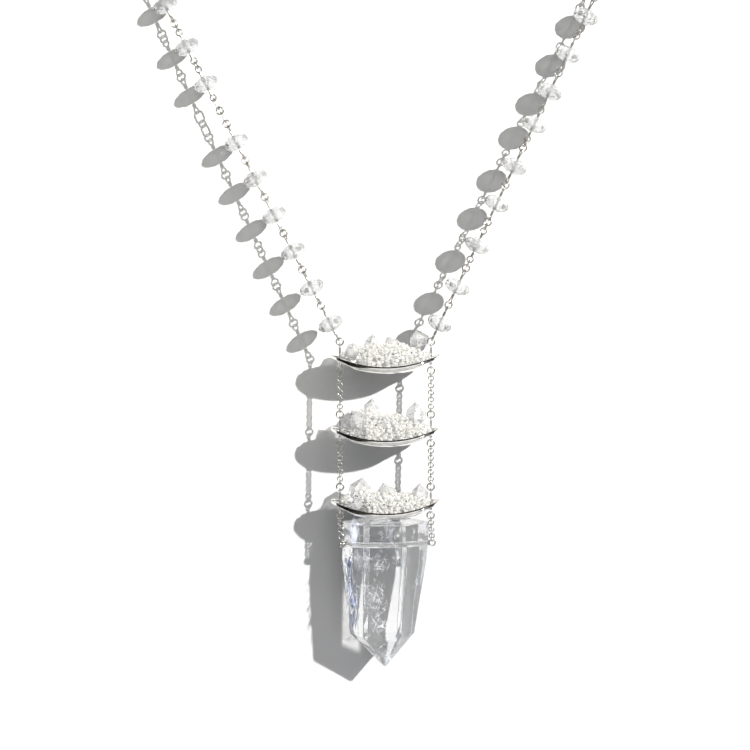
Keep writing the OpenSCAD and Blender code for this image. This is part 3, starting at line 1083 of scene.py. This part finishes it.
@dataclass
class QuartzPoint:
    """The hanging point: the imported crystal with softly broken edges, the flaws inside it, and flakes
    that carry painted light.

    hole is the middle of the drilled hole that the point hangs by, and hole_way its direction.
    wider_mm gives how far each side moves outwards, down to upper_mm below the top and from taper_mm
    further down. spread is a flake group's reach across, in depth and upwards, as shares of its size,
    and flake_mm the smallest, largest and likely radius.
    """

    hole: Vector
    hole_way: Vector
    node: str = "quartz_point"
    edge_mm: float = 0.18
    least_angle: float = 8.0
    bore_edge_mm: float = 0.6
    knot_mm: float = 10.9
    wider_mm: dict[Side, tuple[float, float]] = field(
        default_factory=lambda: {Side.LEFT: (0.0, 1.1), Side.RIGHT: (0.4, 0.1)}
    )
    upper_mm: float = 9.2
    taper_mm: float = 19.4
    longer_mm: float = 1.2
    seed: int = 11
    spread: tuple[float, float, float] = (0.4, 0.3, 0.5)
    upright_spread: float = 0.7
    flake_mm: tuple[float, float, float] = (0.12, 1.0, 0.25)
    veils: tuple[FlakeGroup, ...] = (
        FlakeGroup(-1.8, -16.0, 1.0, 2.8, 110),
        FlakeGroup(-2.6, -23.5, -1.0, 3.2, 150),
        FlakeGroup(-1.6, -31.5, 1.0, 2.8, 130),
        FlakeGroup(-2.0, -27.0, 0.0, 2.4, 70),
        FlakeGroup(-4.6, -24.0, -3.4, 4.5, 60),
        FlakeGroup(2.8, -14.0, -1.5, 3.0, 40),
        FlakeGroup(6.4, -21.0, 0.5, 2.4, 36),
        FlakeGroup(-5.5, -14.5, 0.0, 2.2, 50),
        FlakeGroup(0.5, -8.0, -1.0, 3.0, 60),
        FlakeGroup(-6.8, -8.2, -1.5, 2.4, 150),
        FlakeGroup(6.5, -8.5, -1.5, 2.4, 50),
        FlakeGroup(0.0, -39.0, 0.0, 2.2, 90),
    )
    # Pale mist whose glow is painted light, brightening the point most at its upper left
    haze: tuple[FlakeGroup, ...] = (
        FlakeGroup(-7.3, -8.2, -2.2, 2.6, 150),
        FlakeGroup(1.0, -8.0, -4.5, 3.4, 30),
        FlakeGroup(-6.0, -14.5, -3.0, 2.6, 30),
        FlakeGroup(-8.0, -24.0, -2.0, 4.0, 50),
    )
    # Dark blue flakes along the left face: a painted reflection
    streaks: tuple[FlakeGroup, ...] = (
        FlakeGroup(-9.0, -16.5, -1.4, 2.4, 44),
        FlakeGroup(-8.5, -21.0, -1.4, 2.6, 50),
        FlakeGroup(-7.8, -25.5, -1.4, 2.6, 50),
        FlakeGroup(-7.2, -30.0, -1.4, 2.4, 44),
    )

    def bore_verts(self, bm: bmesh.types.BMesh) -> set[bmesh.types.BMVert]:
        """Finds the corners of the drilled hole, whose short edges stay as they are."""
        return {v for v in bm.verts if any(e.calc_length() < self.bore_edge_mm * MM for e in v.link_edges)}

    def reshape(self, bm: bmesh.types.BMesh) -> None:
        """Makes the crystal a little longer and wider.

        Args:
            bm: the crystal's mesh, whose flat faces are whole.
        """
        tip = min(bm.verts, key=lambda vert: vert.co.z)
        top = max(vert.co.z for vert in bm.verts)
        for vert in bm.verts:
            if vert == tip:
                continue
            share = min(max(((top - vert.co.z) / MM - self.upper_mm) / self.taper_mm, 0.0), 1.0)
            side = Side.LEFT if vert.co.x < self.hole.x else Side.RIGHT
            start, end = self.wider_mm[side]
            vert.co.x += side.value * (start + (end - start) * share) * MM
        tip.co.z -= self.longer_mm * MM

    def crystal(self, source: Object, material: Material) -> Object:
        """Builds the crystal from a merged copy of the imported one, whose edges are then broken.

        Args:
            source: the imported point, which is only read.
            material: its finish.

        Returns:
            The piece.
        """
        bm = bmesh.new()
        bm.from_mesh(source.data)
        bmesh.ops.remove_doubles(bm, verts=bm.verts, dist=MERGE_MM * MM)
        bmesh.ops.dissolve_limit(
            bm,
            angle_limit=math.radians(1.0),
            verts=bm.verts,
            edges=bm.edges,
            use_dissolve_boundaries=False,
            delimit=set(),
        )
        self.reshape(bm)
        bore = self.bore_verts(bm)
        edges = [
            e
            for e in bm.edges
            if e.is_manifold
            and e.calc_face_angle() > math.radians(self.least_angle)
            and not (set(e.verts) & bore)
        ]
        bmesh.ops.bevel(
            bm,
            geom=edges,
            offset=self.edge_mm * MM,
            offset_type="OFFSET",
            segments=2,
            profile=0.5,
            affect="EDGES",
            material=-1,
            clamp_overlap=True,
        )
        piece = finish_object(f"{self.node}_polished", bm, material, smooth=False)
        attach(piece, "point")
        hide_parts(self.node)
        return piece

    def flake_form(self, dice: random.Random, lie: Lie) -> Matrix:
        """Draws how a flake is turned and stretched.

        Args:
            dice: the source of the draws.
            lie: how the flakes lie.

        Returns:
            The transform of a flat round flake about the origin.
        """
        if lie is Lie.UPRIGHT:
            turn = Matrix.Rotation(dice.gauss(0.15, 0.2), 4, "Y") @ Matrix.Rotation(math.pi / 2, 4, "X")
            return turn @ Matrix.Diagonal((dice.uniform(0.15, 0.4), dice.uniform(1.5, 2.8), 1.0, 1.0))
        heading = Matrix.Rotation(dice.uniform(0, math.tau), 4, "Z")
        lean = Matrix.Rotation(dice.uniform(0.6, 2.5), 4, "X")
        roll = Matrix.Rotation(dice.uniform(0, math.tau), 4, "Z")
        return heading @ lean @ roll @ Matrix.Diagonal((1.3, dice.uniform(0.03, 0.2), 1.0, 1.0))

    def flakes(
        self, name: str, groups: Sequence[FlakeGroup], lie: Lie, start: Vector, material: Material
    ) -> Object:
        """Scatters thin flakes in loose groups inside the crystal.

        Args:
            name: the piece's name.
            groups: the groups.
            lie: how the flakes lie; upright ones keep closer together from side to side.
            start: the pendant's middle at the level of the lowest tray's tips.
            material: the flakes' finish.

        Returns:
            All the flakes as one piece.
        """
        dice = random.Random(self.seed)
        wide, deep, tall = self.spread
        squeeze = self.upright_spread if lie is Lie.UPRIGHT else 1.0
        bm = bmesh.new()
        for group in groups:
            middle = start / MM + Vector((group.x, group.y, group.z))
            for _ in range(group.count):
                x = dice.gauss(0, group.size * wide) * squeeze
                y = dice.gauss(0, group.size * deep)
                z = dice.gauss(0, group.size * tall)
                sides = dice.choice((5, 6, 7))
                radius = dice.triangular(*self.flake_mm)
                made = bmesh.ops.create_circle(bm, cap_ends=True, segments=sides, radius=radius)
                form = Matrix.Translation(middle + Vector((x, y, z))) @ self.flake_form(dice, lie)
                bmesh.ops.transform(bm, matrix=Matrix.Scale(MM, 4) @ form, verts=made["verts"])
        piece = finish_object(name, bm, material, smooth=False)
        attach(piece, "point")
        return piece


# The studio


@dataclass
class Studio:
    """Camera, backdrop, floor and light, set as for the product photograph.

    paper_rows gives how far behind the chains the paper hangs at some heights, in millimetres.
    """

    middle_mm: tuple[float, float, float] = (-0.66, 0.0, -179.6)
    distance_mm: float = 480.0
    elevation: float = 5.5
    frame_mm: float = 187.5
    sensor_mm: float = 36.0
    nearest_seen: float = 0.01
    lamp_distance: float = 2.0
    lamp_size: float = 0.05
    lamp_power: float = 60.0
    lamp_colour: str = "#FFFDF9"
    fill_place: tuple[float, float, float] = (-0.2, -0.35, 0.1)
    fill_size: float = 0.2
    fill_power: float = 0.18
    room_light: float = 0.95
    wall_tones: tuple[tuple[float, str], ...] = (
        (0.0, "#5C5C5C"),
        (0.3, "#505050"),
        (0.55, "#404246"),
        (0.72, "#363C46"),
        (1.0, "#56617C"),
    )
    ceiling_tone: str = "#1E1E20"
    ceiling_rise: tuple[float, float] = (0.45, 0.75)
    window_way: tuple[float, float, float] = (0.15, -0.95, 0.2)
    window_core: float = 17.0
    window_edge: float = 30.0
    seen_room: str = "#F4F4F4"
    floor_z: float = -0.95
    floor_half: float = 4.0
    paper_half: float = 1.2
    paper_strips: int = 160
    paper_rows: tuple[tuple[float, float], ...] = (
        (-950, 44.0),
        (-300, 13.0),
        (-240, 11.5),
        (-211, 10.6),
        (-178, 10.0),
        (-85, 3.9),
        (-60, 3.6),
        (600, 3.6),
    )

    def camera(self) -> None:
        """Makes the camera, which the scene then uses."""
        aim = Vector(self.middle_mm) * MM
        angle = math.radians(self.elevation)
        back = Vector((0, -math.cos(angle), math.sin(angle)))
        data = bpy.data.cameras.new("camera")
        data.sensor_width = self.sensor_mm
        data.lens = self.sensor_mm * self.distance_mm / self.frame_mm
        data.clip_start = self.nearest_seen
        made = bpy.data.objects.new("camera", data)
        made.location = aim + back * self.distance_mm * MM
        made.rotation_euler = (-back).to_track_quat("-Z", "Y").to_euler()
        bpy.context.scene.collection.objects.link(made)
        bpy.context.scene.camera = made

    def paper_y(self, z_mm: float) -> float:
        """Distance of the backdrop behind the chains at a height, in millimetres."""
        return float(np.interp(z_mm, [r[0] for r in self.paper_rows], [r[1] for r in self.paper_rows]))

    def backdrop(self) -> None:
        """Makes the paper sheet behind the necklace, which casts no shadow on the floor."""
        low, high = self.paper_rows[0][0], self.paper_rows[-1][0]
        bm = bmesh.new()
        bmesh.ops.create_grid(bm, x_segments=2, y_segments=self.paper_strips, size=1.0)
        for vert in bm.verts:
            z = low + (vert.co.y + 1) / 2 * (high - low)
            vert.co = Vector((vert.co.x * self.paper_half, self.paper_y(z) * MM, z * MM))
        bmesh.ops.recalc_face_normals(bm, faces=bm.faces)
        if bm.faces[:][0].normal.y > 0:
            bmesh.ops.reverse_faces(bm, faces=bm.faces)
        sheet = finish_object("backdrop", bm, BACKDROP_PAPER.material())
        sheet.visible_shadow = False

    def floor(self) -> None:
        """Makes the plain pale floor."""
        bm = bmesh.new()
        bmesh.ops.create_grid(bm, x_segments=4, y_segments=4, size=self.floor_half)
        bmesh.ops.translate(bm, verts=bm.verts, vec=(0, 0, self.floor_z))
        made = finish_object("floor", bm, FLOOR_PAPER.material())

    def lamp(self, name: str, place: Vector, size: float, power: float) -> Object:
        """Makes a flat lamp that faces the necklace.

        Args:
            name: the lamp's name.
            place: where it stands.
            size: its width in metres.
            power: its power in watts.

        Returns:
            The lamp.
        """
        data = bpy.data.lights.new(name, "AREA")
        data.size = size
        data.energy = power
        made = bpy.data.objects.new(name, data)
        made.location = place
        way = place - Vector(self.middle_mm) * MM
        made.rotation_euler = (-way).to_track_quat("-Z", "Y").to_euler()
        bpy.context.scene.collection.objects.link(made)
        return made

    def main_lamp(self) -> None:
        """Makes the small hard lamp, high at the right in front."""
        place = Vector(self.middle_mm) * MM + Vector(LAMP_WAY).normalized() * self.lamp_distance
        made = self.lamp("key", place, self.lamp_size, self.lamp_power)
        made.data.shape = "DISK"
        made.data.color = linear(self.lamp_colour)[:3]

    def fill_lamp(self) -> None:
        """Makes the weak soft lamp at the left, which lifts the shadows and shows in no reflection."""
        made = self.lamp("fill", Vector(self.fill_place), self.fill_size, self.fill_power)
        made.visible_glossy = False
        made.visible_transmission = False

    def room(self, tree: NodeTree) -> NodeSocket:
        """Adds the room: dim walls, a dark ceiling, and a white window towards the camera.

        Args:
            tree: the world's node tree.

        Returns:
            The socket of the room's colour.
        """
        way = add_node(tree, "TexCoord").outputs["Generated"]
        parts = add_node(tree, "SeparateXYZ", {0: way})
        across = add_node(
            tree, "MapRange", {"Value": parts.outputs["X"], "From Min": -1.0, "From Max": 1.0}
        )
        walls = add_node(tree, "ValToRGB", {"Fac": across}, stops=self.wall_tones)
        start, end = self.ceiling_rise
        ceiling = add_node(
            tree, "MapRange", {"Value": parts.outputs["Z"], "From Min": start, "From Max": end}
        )
        dim = add_node(tree, "Mix", {0: ceiling, 6: walls, 7: linear(self.ceiling_tone)}, data_type="RGBA")
        toward = tuple(Vector(self.window_way).normalized())
        along = add_node(tree, "VectorMath", {0: way, 1: toward}, operation="DOT_PRODUCT")
        window = add_node(
            tree,
            "MapRange",
            {
                "Value": along.outputs["Value"],
                "From Min": math.cos(math.radians(self.window_edge)),
                "From Max": math.cos(math.radians(self.window_core)),
            },
        )
        lit = add_node(tree, "Mix", {0: window, 6: dim.outputs[2], 7: linear("#FFFFFF")}, data_type="RGBA")
        return lit.outputs[2]

    def surroundings(self) -> None:
        """Makes the world: the room for light and reflections, and a plain pale one for the camera."""
        world = bpy.data.worlds.new("studio")
        world.use_nodes = True
        tree = world.node_tree
        tree.nodes.clear()
        light = add_node(tree, "Background", {"Color": self.room(tree), "Strength": self.room_light})
        pale = add_node(tree, "Background", {"Color": linear(self.seen_room), "Strength": 1.0})
        seen = add_node(tree, "LightPath").outputs["Is Camera Ray"]
        mix = add_node(tree, "MixShader", {0: seen, 1: light, 2: pale})
        add_node(tree, "OutputWorld", {"Surface": mix})
        bpy.context.scene.world = world

    def build(self) -> None:
        """Makes the whole studio."""
        self.camera()
        self.backdrop()
        self.floor()
        self.main_lamp()
        self.fill_lamp()
        self.surroundings()
        scene = bpy.context.scene
        scene.view_settings.view_transform = "Standard"
        scene.cycles.caustics_refractive = False
        scene.cycles.caustics_reflective = False


def dress(nodes: dict[str, Object], starts: Iterable[str], material: Material) -> None:
    """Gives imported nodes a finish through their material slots.

    Args:
        nodes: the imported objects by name.
        starts: how the names of the nodes to dress begin.
        material: their finish.
    """
    for name, node in nodes.items():
        if name.startswith(tuple(starts)):
            for slot in node.material_slots:
                slot.material = material


def main() -> None:
    """Builds the studio and every piece, in order."""
    logging.basicConfig(level=logging.INFO, format="%(name)s: %(message)s")
    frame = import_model()
    nodes = frame["nodes"]
    Studio().build()

    silver = TRAY_SILVER.material()
    dark = PAINTED_REFLECTION_SILVER.material()
    wire = WIRE_SILVER.material()
    small_quartz = BED_QUARTZ.material()
    dress(nodes, ["chain_", "clasp", "ladder_", "drop_", "point_wire"], wire)
    dress(nodes, ["pin_"], silver)
    dress(nodes, ["beads_"], BEAD_QUARTZ.material())
    dress(nodes, ["stone_"], STONE_QUARTZ.material())
    dress(nodes, ["chips_"], small_quartz)
    LOG.info("dressed %d packed nodes", len(nodes))

    pieces = []
    wraps = BeadWires()
    for side in Side:
        end = side.name.lower()
        pieces.append(wraps.build(f"wraps_{end}", wraps.beside(nodes[f"beads_{end}"]), wire))
    tray = Tray()
    for level, profile in BED_PROFILES.items():
        pieces.append(tray.build(f"tray_{level}", silver, dark))
        stones = [nodes[name] for name in nodes if name.startswith(f"stone_{level}")]
        bed = CrystalBed(tray, profile, seed=len(pieces))
        pieces.append(bed.build(f"tray_{level}", stones, small_quartz))
    swing = next(joint for joint in frame["joints"] if joint["name"] == "point_swing")
    point = QuartzPoint(Vector(swing["pos_m"]), Vector(swing["axis"]).normalized())
    pieces.append(point.crystal(nodes["quartz_point"], POINT_QUARTZ.material()))
    start = tray_middle("tray_bottom") * Vector((1, 0, 1))
    for name, groups, lie, finish in (
        ("point_veils", point.veils, Lie.TUMBLED, WHITE_VEIL),
        ("point_haze", point.haze, Lie.UPRIGHT, PALE_MIST_AND_GLOW),
        ("point_blue_reflection", point.streaks, Lie.UPRIGHT, BLUE_REFLECTION_FLAKES),
    ):
        pieces.append(point.flakes(name, groups, lie, start, finish.material()))
    knot = BeadWires(wire_mm=0.3, core_mm=1.0, length_mm=1.3)
    reach = point.hole_way * point.knot_mm * MM
    ends = [(point.hole + reach * side.value, point.hole_way) for side in Side]
    pieces.append(knot.build("point_knots", ends, wire))
    for piece in pieces:
        LOG.info("%s: %d faces", piece.name, len(piece.data.polygons))


if __name__ == "__main__":
    main()
